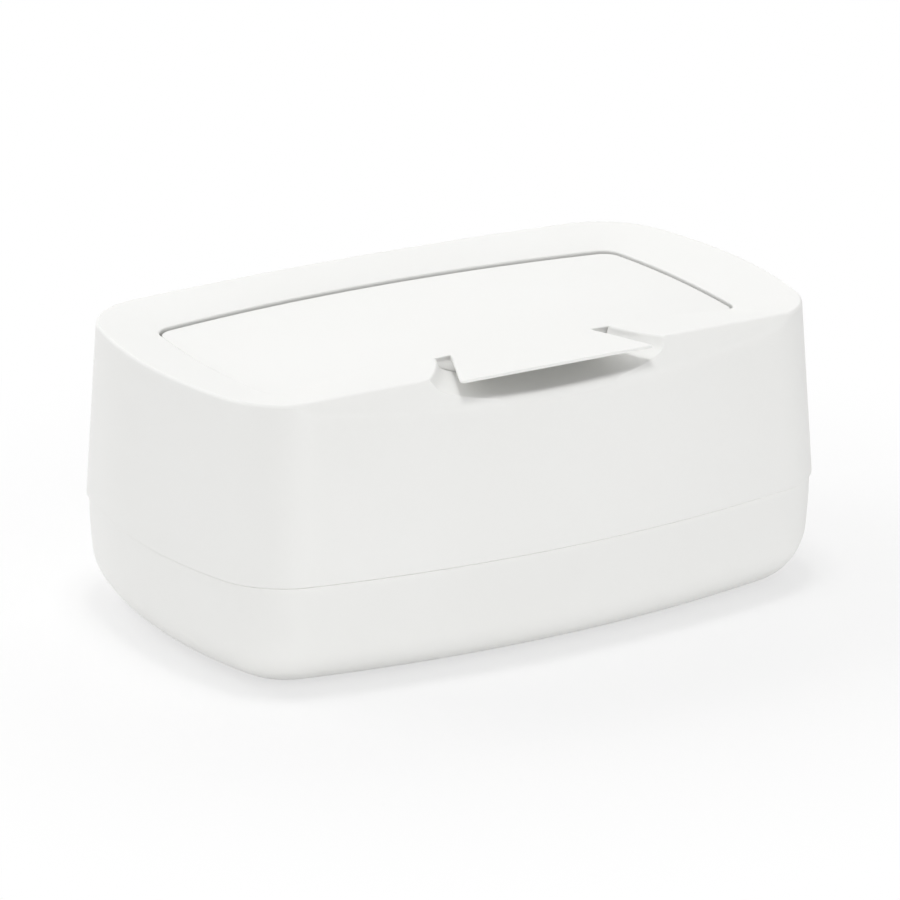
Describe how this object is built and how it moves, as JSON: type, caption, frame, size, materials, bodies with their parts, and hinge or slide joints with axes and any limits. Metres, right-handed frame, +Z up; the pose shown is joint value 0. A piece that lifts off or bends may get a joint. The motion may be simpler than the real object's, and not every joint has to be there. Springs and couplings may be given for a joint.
{
  "type": "wet wipes box",
  "caption": "Rounded plastic box for moist wipes: shallow tray, tall lift-off cover with a dished rim, and a hinged inset lid whose tongue overhangs a finger scoop.",
  "frame": {"origin": "bottom centre of the box, on the surface that it stands on", "axes": "+X along the box's length, +Y from the front (tongue) to the rear (hinge), +Z up"},
  "size_m": [0.24, 0.154, 0.1007],
  "materials": {
    "satin_plastic": "warm white polypropylene, satin",
    "lid_plastic": "warm white polypropylene, satin",
    "seal_silicone": "translucent white silicone",
    "foot_silicone": "pale grey silicone",
    "pin_steel": "ground stainless steel"
  },
  "bodies": {
    "tray": {"base_tray": "satin_plastic", "foot_front_left": "foot_silicone", "foot_front_right": "foot_silicone", "foot_rear_left": "foot_silicone", "foot_rear_right": "foot_silicone"},
    "cover": {"top_cover": "satin_plastic"},
    "lid": {"lid": "lid_plastic", "lid_seal": "seal_silicone", "hinge_pin_left": "pin_steel", "hinge_pin_right": "pin_steel"}
  },
  "joints": [
    {"name": "cover_lift", "type": "slide", "parent": "tray", "child": "cover", "axis": [0, 0, 1], "range_m": [0, 0.06]},
    {"name": "lid_hinge", "type": "hinge", "parent": "cover", "child": "lid", "pos_m": [0, 0.032, 0.0911], "axis": [-1, 0, 0], "range_deg": [0, 95]}
  ]
}
